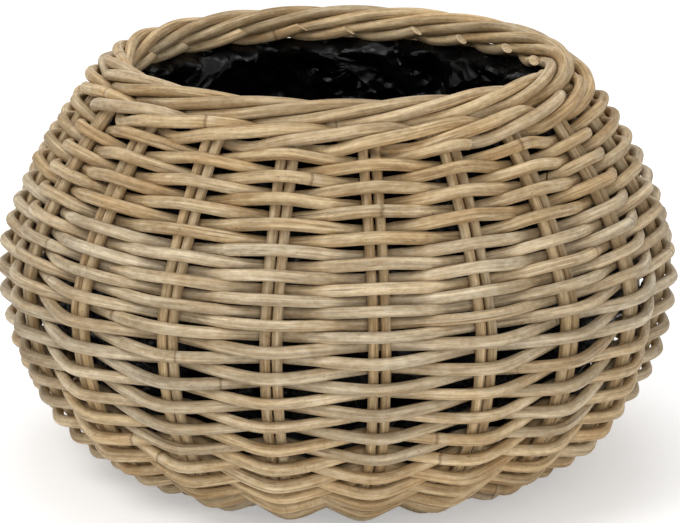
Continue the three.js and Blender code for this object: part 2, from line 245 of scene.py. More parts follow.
def off_even(place):
    """The place moved round the axis with the pairs, which don't stand quite evenly."""
    even_height, blend_height = 0.02, 0.06
    pair = (math.atan2(place.y, place.x) / PAIR_ANGLE - SHIFTED_FROM) % PAIRS
    before = math.floor(pair)
    ends = [PAIR_SHIFTS[i] if 0 <= i < len(PAIR_SHIFTS) else 0 for i in (before, before + 1)]
    share = eased(pair - before)
    shifted = eased((place.z - even_height) / blend_height)
    turn = math.radians(ends[0] + (ends[1] - ends[0]) * share) * shifted
    return Vector((
        place.x * math.cos(turn) - place.y * math.sin(turn),
        place.x * math.sin(turn) + place.y * math.cos(turn),
        place.z,
    ))


def eased(share):
    """0 to 1 with a soft start and end, held outside."""
    share = min(max(share, 0), 1)
    return share * share * (3 - 2 * share)


# Strands

RING = 12              # points round a strand
GRAIN_STEP = 3.7       # metres of grain from one cane to the next, so that no two look alike


def lay_strand(name, path, radii, tones, seed, replaced, material, slants=(0, 0), upright=False):
    """A round strand along a path, with its own length and tone kept as attributes.

    Its two ends are cut. slants gives how far forward each cut leans on the strand's outer side,
    or on its upper side where it is upright.
    """
    path = [off_even(place) for place in path]
    # A slanted cut would fold back over the stations that it reaches
    reach = 1.15
    stations = list(zip(path, radii, tones))
    while (stations[1][0] - stations[0][0]).length < reach * abs(slants[0]) * radii[0]:
        del stations[1]
    while (stations[-1][0] - stations[-2][0]).length < reach * abs(slants[1]) * radii[-1]:
        del stations[-2]
    path, radii, tones = zip(*stations)
    curve = bpy.data.curves.new(name, "CURVE")
    curve.dimensions = "3D"
    curve.bevel_depth = 1
    curve.bevel_resolution = (RING - 4) // 2
    spline = curve.splines.new("POLY")
    spline.points.add(len(path) - 1)
    for point, place, radius in zip(spline.points, path, radii):
        point.co = (*place, 1)
        point.radius = radius
    holder = bpy.data.objects.new(name, curve)
    mesh = bpy.data.meshes.new_from_object(holder)
    bpy.data.objects.remove(holder)
    bpy.data.curves.remove(curve)
    mesh.name = name

    lengths = [0.0]
    for before, after in zip(path, path[1:]):
        lengths.append(lengths[-1] + (after - before).length)
    offset = GRAIN_STEP * seed
    grain, tone = [], []
    for vertex in mesh.vertices:
        station, corner = divmod(vertex.index, RING)
        turn = 2 * math.pi * corner / RING
        radius = radii[station]
        grain += (lengths[station] + offset, radius * math.cos(turn), radius * math.sin(turn))
        tone += (*tones[station], 1.0)
    mesh.attributes.new("grain", "FLOAT_VECTOR", "POINT").data.foreach_set("vector", grain)
    mesh.attributes.new("tone", "FLOAT_COLOR", "POINT").data.foreach_set("color", tone)

    first, last = path[0], path[-1]
    for corner in range(RING):
        for slant, centre, onward, index in (
            (slants[0], first, path[1] - first, corner),
            (slants[1], last, last - path[-2], len(mesh.vertices) - RING + corner),
        ):
            side = Vector((0, 0, 1)) if upright else Vector((centre.x, centre.y, 0)).normalized()
            vertex = mesh.vertices[index]
            vertex.co += onward.normalized() * slant * side.dot(vertex.co - centre)

    bm = bmesh.new()
    bm.from_mesh(mesh)
    for face in bm.faces:
        face.smooth = True
    rims = [edge for edge in bm.edges if edge.is_boundary]
    for edge in rims:
        edge.smooth = False
    cuts = bmesh.ops.holes_fill(bm, edges=rims, sides=RING)["faces"]
    for face in cuts:
        face.material_index = 1
        face.smooth = False
    bmesh.ops.recalc_face_normals(bm, faces=bm.faces[:])
    bm.to_mesh(mesh)
    bm.free()

    strand = bpy.data.objects.new(name, mesh)
    bpy.context.scene.collection.objects.link(strand)
    mesh.materials.append(material)
    mesh.materials.append(cut_cane())
    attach(strand, BODY)
    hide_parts(replaced)


def cane_tones(path, seed, grey_share):
    """Tone along one cane: how grey, how light, how much bark is left."""
    dice = random.Random(seed)
    grey = dice.random() < grey_share
    greyness = dice.uniform(0.5, 0.85) if grey else dice.uniform(0.0, 0.3)
    lightness = dice.uniform(0.25, 0.75)
    bark = dice.random() ** 2
    light_seed = seed + 500
    tones, length = [], 0.0
    for i, place in enumerate(path):
        if i:
            length += (place - path[i - 1]).length
        drift = 0.4 * ripple(seed, length * 2.3)
        lighter = 0.3 * ripple(light_seed, length * 1.7)
        tones.append((min(max(greyness + drift, 0), 1), min(max(lightness + lighter, 0), 1), bark))
    return tones


# Materials

class Bench:
    """Adds nodes to a material or a world and joins them."""

    def __init__(self, tree):
        self.tree = tree

    def node(self, kind, **values):
        node = self.tree.nodes.new(kind)
        for key, value in values.items():
            setattr(node, key, value)
        return node

    def join(self, source, target):
        self.tree.links.new(source, target)

    def put(self, socket, value):
        if isinstance(value, bpy.types.NodeSocket):
            self.join(value, socket)
        else:
            socket.default_value = value

    def math(self, operation, first, second=0.0, clamp=False):
        node = self.node("ShaderNodeMath", operation=operation, use_clamp=clamp)
        for socket, value in zip(node.inputs, (first, second)):
            self.put(socket, value)
        return node.outputs[0]

    def vectors(self, operation, *values):
        node = self.node("ShaderNodeVectorMath", operation=operation)
        for socket, value in zip(node.inputs, values):
            self.put(socket, value)
        return node.outputs[0]

    def stretched(self, vector, scale):
        node = self.node("ShaderNodeMapping")
        self.put(node.inputs["Vector"], vector)
        node.inputs["Scale"].default_value = scale
        return node.outputs[0]

    def noise(self, vector, scale, detail=2.0, roughness=0.5):
        """Noise with its own number of waves a metre along each axis."""
        stretched = self.stretched(vector, scale)
        node = self.node("ShaderNodeTexNoise")
        self.put(node.inputs["Vector"], stretched)
        node.inputs["Scale"].default_value = 1
        node.inputs["Detail"].default_value = detail
        node.inputs["Roughness"].default_value = roughness
        return node.outputs["Fac"]

    def cells(self, vector, size):
        """Random cells of about this size."""
        stretched = self.stretched(vector, (1 / size, 1 / size, 1 / size))
        node = self.node("ShaderNodeTexVoronoi")
        self.put(node.inputs["Vector"], stretched)
        node.inputs["Scale"].default_value = 1
        return node

    def range(self, value, low, high, to_low=0.0, to_high=1.0):
        node = self.node("ShaderNodeMapRange", interpolation_type="SMOOTHSTEP")
        for socket, setting in zip(node.inputs, (value, low, high, to_low, to_high)):
            self.put(socket, setting)
        return node.outputs[0]

    def mix(self, share, first, second):
        node = self.node("ShaderNodeMix", data_type="RGBA")
        for socket, value in ((0, share), (6, first), (7, second)):
            self.put(node.inputs[socket], value)
        return node.outputs[2]

    def band(self, value, middle, inner, outer):
        """1 where the value is near the middle, falling to 0 from inner to outer."""
        away = self.math("ABSOLUTE", self.math("SUBTRACT", value, middle))
        return self.math("SUBTRACT", 1.0, self.range(away, inner, outer))

    def bump(self, height, distance, strength):
        node = self.node("ShaderNodeBump")
        node.inputs["Distance"].default_value = distance
        node.inputs["Strength"].default_value = strength
        self.join(height, node.inputs["Height"])
        return node.outputs[0]

    def seen(self):
        """1 on a ray from the camera, a mirror or a clear piece, and 0 on light that falls on things."""
        rays = self.node("ShaderNodeLightPath")
        seen = self.math("MAXIMUM", rays.outputs["Is Camera Ray"], rays.outputs["Is Glossy Ray"])
        return self.math("MAXIMUM", seen, rays.outputs["Is Transmission Ray"])


def new_material(name):
    """The material, a bench for its nodes, and its shader."""
    material = bpy.data.materials.new(name)
    material.use_nodes = True
    tree = material.node_tree
    return material, Bench(tree), tree.nodes["Principled BSDF"]


def rattan():
    """Dry rattan: streaks along the cane, pale bark, dark specks, nodes and fine cracks."""
    found = bpy.data.materials.get("dry_rattan")
    if found:
        return found
    c = colours()
    material, b, shader = new_material("dry_rattan")
    grain = b.node("ShaderNodeAttribute", attribute_name="grain").outputs["Vector"]
    tone = b.node("ShaderNodeAttribute", attribute_name="tone").outputs["Color"]
    split = b.node("ShaderNodeSeparateColor")
    b.join(tone, split.inputs[0])
    greyness, lightness, bark = split.outputs[0], split.outputs[1], split.outputs[2]

    patches = b.noise(grain, (16, 70, 70), detail=4, roughness=0.6)
    streaks = b.noise(grain, (18, 420, 420), detail=3, roughness=0.6)
    fibres = b.noise(grain, (50, 1500, 1500), detail=2, roughness=0.6)
    mottle = b.noise(grain, (160, 300, 300), detail=4, roughness=0.65)

    straw, tan = (*c.straw, 1), (*c.tan, 1)
    grey, silver, brown = (*c.grey, 1), (*c.silver, 1), (*c.brown, 1)
    warm_share = b.range(b.math("ADD", patches, b.math("MULTIPLY", streaks, 0.5)), 0.55, 0.95)
    rind = b.mix(warm_share, tan, straw)
    weathered = b.mix(b.range(patches, 0.35, 0.7), grey, silver)
    grey_share = b.math("ADD", greyness, b.range(mottle, 0.3, 0.72, -0.28, 0.3), clamp=True)
    base = b.mix(grey_share, rind, weathered)

    shade = b.range(lightness, 0, 1, 0.84, 1.16)
    for pattern, low, high, darkest, lightest in (
        (streaks, 0.32, 0.7, 0.7, 1.13),
        (fibres, 0.3, 0.7, 0.86, 1.1),
        (mottle, 0.3, 0.7, 0.84, 1.1),
    ):
        shade = b.math("MULTIPLY", shade, b.range(pattern, low, high, darkest, lightest))

    # Dark specks and pits, gathered in patches
    speck = b.noise(grain, (420, 900, 900), detail=2, roughness=0.7)
    speck_zone = b.range(b.noise(grain, (24, 60, 60), detail=1), 0.48, 0.66)
    specks = b.math("MULTIPLY", b.range(speck, 0.62, 0.7), speck_zone)

    # Long dark slits where the rind has dried open, and pale strips where it is scraped off
    slits = b.range(b.noise(grain, (11, 620, 620)), 0.66, 0.72)
    strips = b.range(b.noise(grain, (9, 260, 260)), 0.6, 0.68)
    scraped = b.math("MULTIPLY", strips, b.range(bark, 0, 1, 0.25, 0.9))

    # Nodes: a dark ring with a pale lip, a little skew, at uneven steps along the cane
    nodes_a_metre = 1.3
    split_grain = b.node("ShaderNodeSeparateXYZ")
    b.join(grain, split_grain.inputs[0])
    along = b.math("MULTIPLY", split_grain.outputs[0], nodes_a_metre)
    uneven = b.math("MULTIPLY", b.noise(grain, (2.1, 0, 0), detail=0), 0.9)
    skew = b.math("MULTIPLY", b.noise(grain, (40, 260, 260), detail=1), 0.003)
    beat = b.math("FRACT", b.math("ADD", b.math("ADD", along, uneven), skew))
    ring = b.band(beat, 0.5, 0.0006, 0.002)
    lip = b.band(beat, 0.505, 0.0015, 0.005)

    # Fine cracks across the bark
    crack_zone = b.range(b.noise(grain, (9, 30, 30)), 0.6, 0.68)
    crack = b.noise(grain, (1500, 160, 160), detail=1, roughness=0.6)
    cracks = b.math("MULTIPLY", b.range(crack, 0.57, 0.66), crack_zone)

    for mark, strength, colour in (
        (scraped, 0.6, silver),
        (lip, 0.3, silver),
        (slits, 0.5, brown),
        (specks, 0.75, brown),
        (ring, 0.5, brown),
        (cracks, 0.22, brown),
    ):
        base = b.mix(b.math("MULTIPLY", mark, strength), base, colour)
    shaded = b.node("ShaderNodeHueSaturation")
    b.put(shaded.inputs["Color"], base)
    b.put(shaded.inputs["Value"], shade)
    b.join(shaded.outputs[0], shader.inputs["Base Color"])
    b.join(b.range(streaks, 0.3, 0.7, 0.66, 0.46), shader.inputs["Roughness"])
    shader.inputs["Specular IOR Level"].default_value = 0.32

    height = b.math("MULTIPLY", streaks, 0.5)
    for mark, rise in (
        (fibres, 0.25),
        (specks, -0.35),
        (slits, -0.5),
        (ring, -0.6),
        (lip, 0.5),
        (cracks, -0.25),
    ):
        height = b.math("ADD", height, b.math("MULTIPLY", mark, rise))
    b.join(b.bump(height, distance=0.0006, strength=0.6), shader.inputs["Normal"])
    return material


def cut_cane():
    """Pale pith with dark pores, where a cane is cut through."""
    found = bpy.data.materials.get("cut_cane")
    if found:
        return found
    c = colours()
    material, b, shader = new_material("cut_cane")
    spot = b.node("ShaderNodeTexCoord").outputs["Object"]
    pores = b.noise(spot, (1900, 1900, 1900), detail=1)
    patches = b.noise(spot, (420, 420, 420))
    pale = b.mix(b.range(patches, 0.3, 0.7), (*c.straw, 1), (*c.pith, 1))
    pore_share = b.math("MULTIPLY", b.range(pores, 0.56, 0.66), 0.6)
    b.join(b.mix(pore_share, pale, (*c.brown, 1)), shader.inputs["Base Color"])
    shader.inputs["Roughness"].default_value = 0.85
    shader.inputs["Specular IOR Level"].default_value = 0.2
    b.join(b.bump(pores, distance=0.0004, strength=0.5), shader.inputs["Normal"])
    return material


def film_material():
    """Black plastic film with a soft gloss, crumpled into facets over small wrinkles."""
    facet_size, wrinkle_size = 0.036, 0.013
    sway_scale, sway_reach = 16, 0.03
    c = colours()
    material, b, shader = new_material("black_film")
    spot = b.node("ShaderNodeTexCoord").outputs["Object"]
    haze = b.noise(spot, (60, 60, 60), detail=3)
    b.join(b.range(haze, 0.3, 0.7, 0.2, 0.36), shader.inputs["Roughness"])
    b.join(b.mix(b.range(haze, 0.4, 0.8), (*c.film, 1), (*c.dust, 1)), shader.inputs["Base Color"])
    shader.inputs["Specular IOR Level"].default_value = 0.19

    sway = b.node("ShaderNodeTexNoise")
    b.join(spot, sway.inputs["Vector"])
    sway.inputs["Scale"].default_value = sway_scale
    bent = b.vectors("MULTIPLY_ADD", sway.outputs["Color"], (sway_reach,) * 3, spot)
    facets = b.cells(bent, facet_size).outputs["Color"]
    wrinkles = b.bump(b.cells(bent, wrinkle_size).outputs["Distance"], distance=0.008, strength=0.7)
    # Each facet is tilted its own way, and on the average a little upwards
    tilt = b.vectors("MULTIPLY_ADD", facets, (1.2, 1.2, 1.5), (-0.6, -0.6, -0.45))
    facing = b.vectors("NORMALIZE", b.vectors("ADD", wrinkles, tilt))
    b.join(facing, shader.inputs["Normal"])
    return material


# Rows of the plain weave

def row_length(row):
    """Length along the wall of a row, which may lie between two rows."""
    beaten_from, beaten_to, beaten_by = 22, 37, 0.0021
    s = sizes()
    last_floor = s.floor_rows - 1
    if row <= last_floor:
        return s.first_row + row * s.floor_pitch
    if row < s.floor_rows:
        floor_end = s.first_row + last_floor * s.floor_pitch
        return floor_end + (s.first_wall_row - floor_end) * (row - last_floor)
    share = (row - s.floor_rows) / (s.wall_rows - 1)
    length = s.first_wall_row + (s.top_row - s.first_wall_row) * (share + s.crowding * share * (1 - share))
    # Beaten down harder in the belly, so that a wider gap stays above it
    if beaten_from < row < beaten_to:
        length += beaten_by * math.sin(2 * math.pi * (row - beaten_from) / (beaten_to - beaten_from))
    return length


def row_pitch(row):
    """Distance from row to row at this row."""
    return row_length(row + 0.5) - row_length(row - 0.5)


def weaver_joints(weaver):
    """Pairs passed where one cane of a weaver ends and the next begins."""
    s = sizes()
    passed = (s.floor_rows + s.wall_rows - 1 - weaver) * PAIRS // 2
    first_behind = 1 if (weaver + SEAM_PAIR) % 2 == 0 else 0
    joints = [
        first_behind + 2 * math.floor(passed * piece / PIECES_PER_WEAVER / 2 + 0.5)
        for piece in range(1, PIECES_PER_WEAVER)
    ]
    return [0, *joints, passed]


def weaver_place(wall, weaver, passed, radius):
    """Place of a weaver's middle once it has passed so many pairs."""
    clearance = 0.0002
    slack = 0.08          # uneven share of how far it reaches over the pairs
    waver, tremble = 0.0012, 0.0009
    most_reach = 1.35     # against the thickness that it has to clear
    straightness = 0.93   # 1 would be straight from pair to pair, with a sharp bend over each
    levelness = 2.2       # on the floor, how flat it runs over each pair
    s = sizes()
    row = weaver + 2 * passed / PAIRS
    pair = SEAM_PAIR + passed
    angle = pair * PAIR_ANGLE
    turn = Vector((math.cos(angle), math.sin(angle)))
    on_wall = eased(row - s.floor_rows + 1)
    length = row_length(row)
    length += on_wall * waver * ripple(1, 1.6 * turn.x, 1.6 * turn.y, row / 7)
    length += on_wall * tremble * ripple(2, 6 * turn.x, 6 * turn.y, row * 0.9)
    wall_radius, _, _, _ = wall.at(length)
    need = s.rod / 2 + radius + clearance
    half_pair = s.rod + s.rod_gap / 2
    edge = math.cos(min(math.pi * half_pair / (wall_radius * PAIR_ANGLE), 1))
    reach = min(need * math.asin(straightness) / math.asin(straightness * edge), most_reach * need)
    reach *= 1 + slack * on_wall * ripple(3, 9 * turn.x, 9 * turn.y, row)
    reach = reach * on_wall + min(reach, s.floor_plane - radius) * (1 - on_wall)
    # Level over the pairs on the floor, where they stand close, and straight between them on the wall
    swing = math.cos(math.pi * (pair + weaver))
    level = math.tanh(levelness * swing) / math.tanh(levelness)
    straight = math.asin(straightness * swing) / math.asin(straightness)
    wave = level + (straight - level) * on_wall
    place = wall.point(angle, length, reach * wave)
    place.z = max(place.z, radius)
    return place


class PLANTER_OT_weavers(bpy.types.Operator):
    """Two weavers that chase each other up the wall, in pieced lengths"""

    bl_idname = "mesh.planter_weavers"
    bl_label = "Weavers"

    def execute(self, context):
        s = sizes()
        wall = Wall()
        material = rattan()
        per_pair = 12        # stations from pair to pair
        past = 0.34          # a joint shows just beside the pair that it lies behind
        gap = 0.02           # from one cane's end to the next cane's start, in pairs
        tail = 1.25          # the upper weaver's last end comes out past one more pair
        fullest = 1.06       # thickest cane against the room in its row
        top_rows = 34        # above these the canes are seldom grey
        for weaver, letter in enumerate("ab"):
            joints = weaver_joints(weaver)
            for piece, (start, stop) in enumerate(zip(joints, joints[1:])):
                dice = random.Random(31 * piece + 7 * weaver + 3)
                final = piece == PIECES_PER_WEAVER - 1
                first = start + past if piece else start
                last = stop + past - gap
                if final:
                    last = stop + (tail if weaver else -gap)
                middle = weaver + (first + last) / PAIRS
                room = fullest * row_pitch(max(middle, s.floor_rows + 1))
                thick = min(dice.uniform(s.weaver_least, s.weaver_most), room)
                seed = 10 * piece + weaver + 1
                steps = math.ceil((last - first) * per_pair)
                passed = [first + (last - first) * i / steps for i in range(steps + 1)]
                radii = []
                for i, done in enumerate(passed):
                    on_wall = eased(weaver + 2 * done / PAIRS - s.floor_rows + 1)
                    width = s.floor_weaver + (thick - s.floor_weaver) * on_wall
                    swell = 1 + 0.05 * ripple(5 + seed, i / 19) + 0.025 * ripple(9 + seed, i / 6)
                    radii.append(width / 2 * swell)
                path = [weaver_place(wall, weaver, done, radius) for done, radius in zip(passed, radii)]
                grey_share = 0.12 if middle > top_rows else 0.5
                tones = cane_tones(path, seed * 13 + 5, grey_share)
                name = f"weaver_{letter}_{piece + 1:02d}"
                slants = (-0.9, -0.9) if dice.random() < 0.7 else (0.6, 0.6)
                lay_strand(
                    f"{name}_cane", path, radii, tones, seed, name, material, slants=slants
                )
        return {"FINISHED"}


# Border

class Border:
    """Places round the core hoop: wind 0 is up along the wall, and a quarter turn is inside."""

    def __init__(self, wall):
        s = sizes()
        _, _, self.out_r, self.out_z = wall.at(wall.total)
        self.up_r, self.up_z = -self.out_z, self.out_r
        self.rim_radius, self.rim_height = s.rim_radius, s.rim_height
        self.radius = 0.0072                # core's middle to the middle of the first layer
        self.start = math.radians(150)      # wind at the pair, before it has wound
        self.per_pair = math.radians(78)
        self.lead = self.per_pair / 5       # wound already where a rod leaves its pair

    def place(self, angle, wind, radius):
        along, outward = radius * math.cos(wind), -radius * math.sin(wind)
        r = self.rim_radius + along * self.up_r + outward * self.out_r
        z = self.rim_height + along * self.up_z + outward * self.out_z
        return Vector((r * math.cos(angle), r * math.sin(angle), z))


def wound_end(border, pair_angle, seed):
    """From its pair over the core, round it once and up the inside again, to the cut end."""
    dice = random.Random(seed)
    places = []
    second_layer_from = math.radians(338)
    climb_turn, climb = math.radians(40), 0.0054
    end = math.radians(438 + dice.uniform(-12, 10))
    unevenness = 0.0003
    steps = 42
    for i in range(steps + 1):
        turned = border.lead + (end - border.lead) * i / steps
        # Over the next rods' starts, once it comes round to them
        radius = border.radius + climb * eased((turned - second_layer_from) / climb_turn)
        radius += unevenness * ripple(seed, turned * 1.3)
        pairs = turned / border.per_pair
        places.append(border.place(pair_angle - pairs * PAIR_ANGLE, border.start - turned, radius))
    return places


def crossing():
    """The crossing under the floor: pitch of its pairs, its reach, and where the rods run level again."""
    s = sizes()
    pitch = 2 * (s.rod + s.rod_gap)
    return pitch, pitch / math.sin(PAIR_ANGLE), s.first_row - s.floor_weaver / 2


def rod_keys(wall, k, side, drop):
    """Key points of a rod of pair k of its set, from the far top to the near top."""
    s = sizes()
    offset = side * (s.rod + s.rod_gap) / 2
    near, far = k * PAIR_ANGLE, math.pi - k * PAIR_ANGLE
    cross_pitch, cross_reach, level_radius = crossing()
    bottom = s.base_radius * 0.96
    top = wall.total - 0.0162           # cut off, or bent over, just under the border
    wall_steps = 30

    def across(angle, sign):
        return Vector((-math.sin(angle), math.cos(angle), 0)) * (offset * sign)

    def wall_part(angle, sign):
        keys = []
        for i in range(wall_steps + 1):
            length = bottom + (top - bottom) * i / wall_steps
            keys.append(wall.point(angle, length) + across(angle, sign))
        return keys

    def floor_part(angle, sign):
        keys = []
        turn_radius = abs(k * cross_pitch / math.sin(near)) if k else cross_reach
        for radius in (turn_radius, (turn_radius + level_radius) / 2, level_radius):
            share = min(max((level_radius - radius) / (level_radius - cross_reach), 0), 1)
            z = s.floor_plane - drop * (s.rod / 2 + s.rod_gap / 4) * share
            middle = Vector((radius * math.cos(angle), radius * math.sin(angle), z))
            keys.append(middle + across(angle, sign))
        return keys

    return [
        *reversed(wall_part(far, -1)),
        *reversed(floor_part(far, -1)),
        *floor_part(near, 1),
        *wall_part(near, 1),
    ]


class PLANTER_OT_rods(bpy.types.Operator):
    """Twenty rods: crossed under the floor, up the wall in pairs, and wound into the border"""

    bl_idname = "mesh.planter_rods"
    bl_label = "Rods and border"

    def execute(self, context):
        s = sizes()
        wall = Wall()
        border = Border(wall)
        material = rattan()
        half_set = (PAIRS // 4 - 1) // 2
        path_steps = 3
        sway = 0.0003
        for rod_set in range(2):
            quarter = Matrix.Rotation(math.pi / 2 * rod_set, 3, "Z")
            for k in range(-half_set, half_set + 1):
                for side in (1, -1):
                    number = rod_set * PAIRS // 2 + (k + half_set) * 2 + (1 if side > 0 else 2)
                    keys = rod_keys(wall, k, side, 1 if rod_set == 0 else -1)
                    pair_angle = k * PAIR_ANGLE if side > 0 else math.pi - k * PAIR_ANGLE
                    wound = wound_end(border, pair_angle, number)
                    keys = [*keys, *wound] if side > 0 else [*reversed(wound), *keys]
                    path = [quarter @ point for point in smooth_path(keys, path_steps)]
                    dice = random.Random(number)
                    thick = s.rod * dice.uniform(0.96, 1.04)
                    shake = number + 40
                    for i, point in enumerate(path):
                        point += Vector((ripple(number, i / 30), ripple(shake, i / 30), 0)) * sway
                    radii = []
                    for i in range(len(path)):
                        to_end = (len(path) - 1 - i if side > 0 else i) / (path_steps * len(wound))
                        full = thick + (s.border_rod - thick) * eased((1.12 - to_end) / 0.25)
                        radii.append(full / 2 * (1 + 0.03 * ripple(number, i / 25)))
                    tones = cane_tones(path, number * 7 + 1, 0)
                    name = f"rod_{number:02d}"
                    lean = -0.8 if side > 0 else 0.8
                    slants = (0, lean) if side > 0 else (lean, 0)
                    lay_strand(
                        f"{name}_cane", path, radii, tones, shake, name, material,
                        slants=slants, upright=True,
                    )
        return {"FINISHED"}


class PLANTER_OT_wale(bpy.types.Operator):
    """Three strands under the border, each in front of two pairs and behind one"""

    bl_idname = "mesh.planter_wale"
    bl_label = "Wale"

    def execute(self, context):
        s = sizes()
        wall = Wall()
        middle = wall.total - 0.0202
        stack = 0.0045                          # half of the height from strand to strand
        bow = (s.rod + s.wale) / 2 * 1.1        # outwards over a pair, inwards behind it
        proud = 1.12 * bow
        cross = 1.6 * stack                     # a strand passes over or under the two others
        stations = [(bow, -stack), (proud, 0), (bow, stack), (0, cross), (-bow, 0), (0, -cross)]
        material = rattan()
        for strand in range(3):
            keys = []
            for i in range(2 * PAIRS + 1):
                outward, along = stations[(i + 2 * strand) % len(stations)]
                angle = (SEAM_PAIR + i / 2) * PAIR_ANGLE
                keys.append(wall.point(angle, middle + along, outward))
            path = smooth_path(keys, 5)
            seed = 70 + strand
            radii = [s.wale / 2 * (1 + 0.07 * ripple(seed, i / 14)) for i in range(len(path))]
            tones = cane_tones(path, 400 + strand, 1 if strand == 0 else 0)
            name = f"wale_strand_{strand + 1}"
            lay_strand(f"{name}_cane", path, radii, tones, seed, name, material)
        return {"FINISHED"}


class PLANTER_OT_core(bpy.types.Operator):
    """Core hoop inside the border"""

    bl_idname = "mesh.planter_core"
    bl_label = "Core hoop"

    def execute(self, context):
        s = sizes()
        border = Border(Wall())
        steps = 12 * PAIRS
        gap = 0.002 / s.rim_radius
        start = SEAM_PAIR * PAIR_ANGLE + gap
        sweep = 2 * math.pi - 2 * gap
        path = [border.place(start + sweep * i / steps, 0, 0) for i in range(steps + 1)]
        radii = [s.core / 2] * len(path)
        tones = cane_tones(path, 500, 0.2)
        lay_strand("border_core_cane", path, radii, tones, 90, "border_core", rattan())
        return {"FINISHED"}


class PLANTER_OT_tie(bpy.types.Operator):
    """Thin cane wound over and under the rods round their crossing"""

    bl_idname = "mesh.planter_tie"
    bl_label = "Floor tie"

    def execute(self, context):
        s = sizes()
        rounds = 3
        _, cross_reach, level_radius = crossing()
        start = cross_reach + 0.008
        pitch = s.tie + 0.0008
        clearance = 0.0003
        keys = []
        for quarter in range(4 * rounds):
            over = 1 if quarter % 2 == 0 else -1
            for share in (-0.9, -0.5, 0, 0.5, 0.9):
                angle = (quarter + share / 2) * math.pi / 2
                radius = start + pitch * (quarter + share / 2) / 4
                level = min(max((level_radius - radius) / (level_radius - cross_reach), 0), 1)
                clear = (s.rod + s.tie) / 2 + clearance - (s.rod / 2) * level
                height = s.floor_plane + over * clear
                keys.append(Vector((radius * math.cos(angle), radius * math.sin(angle), height)))
        path = smooth_path(keys, 5)
        radii = [s.tie / 2] * len(path)
        tones = cane_tones(path, 510, 0.3)
        lay_strand("floor_tie_cane", path, radii, tones, 91, "floor_tie", rattan())
        return {"FINISHED"}


def liner_outline(wall, floor_top):
    """The film's outline from near the middle of the floor, up inside the weave, to under the border."""
    s = sizes()
    bands = 110
    foot, top = s.base_radius, wall.total - 0.0135
    depth = (s.rod + s.weaver_most) / 2 * 1.14 + s.weaver_most / 2
    # The film is lifted over the first rows of the wall, where the weavers turn up from the floor
    lift, lifted_bands, falling_bands = 0.003, 8, 10
    up_wall = []
    for i in range(bands + 1):
        radius, height, out, up = wall.at(foot + (top - foot) * i / bands)
        inset = depth + lift * (1 - eased((i - lifted_bands) / falling_bands))
        up_wall.append(Vector((radius - inset * out, 0, max(height - inset * up, floor_top + lift))))
    # Its edge turns out over the wale
    for below, share in ((0.0127, 0.82), (0.0123, 0.56)):
        radius, height, out, up = wall.at(wall.total - below)
        up_wall.append(Vector((radius - share * depth * out, 0, height - share * depth * up)))
    on_floor = [
        Vector((up_wall[0].x * share, 0, floor_top + lift * eased((share - 0.75) / 0.15)))
        for share in (0.02, 0.2, 0.4, 0.6, 0.75, 0.9)
    ]
    return [*on_floor, *up_wall]


class PLANTER_OT_liner(bpy.types.Operator):
    """Bag of thin black film against the inside of the weave"""

    bl_idname = "mesh.planter_liner"
    bl_label = "Film liner"

    def execute(self, context):
        s = sizes()
        floor_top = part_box("liner")[0][2]
        columns = 312
        outline = liner_outline(Wall(), floor_top)
        bm = bmesh.new()
        verts = [bm.verts.new(point) for point in outline]
        edges = [bm.edges.new(pair) for pair in zip(verts, verts[1:])]
        bmesh.ops.spin(
            bm, geom=[*verts, *edges],
            axis=(0, 0, 1), cent=(0, 0, 0), angle=2 * math.pi, steps=columns, use_merge=True,
        )
        rims = [edge for edge in bm.edges if edge.is_boundary]
        middle_hole = [edge for edge in rims if edge.verts[0].co.z < s.belly_height]
        bmesh.ops.holes_fill(bm, edges=middle_hole, sides=0)
        bmesh.ops.remove_doubles(bm, verts=bm.verts[:], dist=0.00001)
        creases = crease_waves()
        span = outline[-1].z - floor_top
        for vert in bm.verts:
            vert.co += crumpled(vert.co, (vert.co.z - floor_top) / span, creases)
        bmesh.ops.recalc_face_normals(bm, faces=bm.faces[:])
        cloth = sum(face.calc_area() for face in bm.faces)
        for face in bm.faces:
            face.smooth = True
        mesh = bpy.data.meshes.new("liner_film")
        bm.to_mesh(mesh)
        bm.free()
        mesh.materials.append(film_material())
        film = bpy.data.objects.new("liner_film", mesh)
        context.scene.collection.objects.link(film)
        solid = film.modifiers.new("film", "SOLIDIFY")
        solid.thickness = s.film
        solid.offset = 0
        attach(film, BODY)
        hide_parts("liner")
        return {"FINISHED"}


def zigzag(turns):
    """A fold line: 1 on every whole turn and 0 half way between."""
    return abs(2 * (turns % 1) - 1)


def crease_waves():
    """Sharp waves across the film in many directions, as (waves round, waves a metre up, start, depth)."""
    count, longest, shrink = 10, 0.11, 0.84
    mean_radius, steepness = 0.2, 0.13
    dice = random.Random(11)
    waves = []
    for i in range(count):
        length = longest * shrink ** i
        lean = dice.uniform(0.15, 0.5) * math.pi * dice.choice((-1, 1))
        waves.append((
            round(2 * math.pi * mean_radius * math.cos(lean) / length),
            math.sin(lean) / length,
            dice.random(),
            steepness * length,
        ))
    return waves


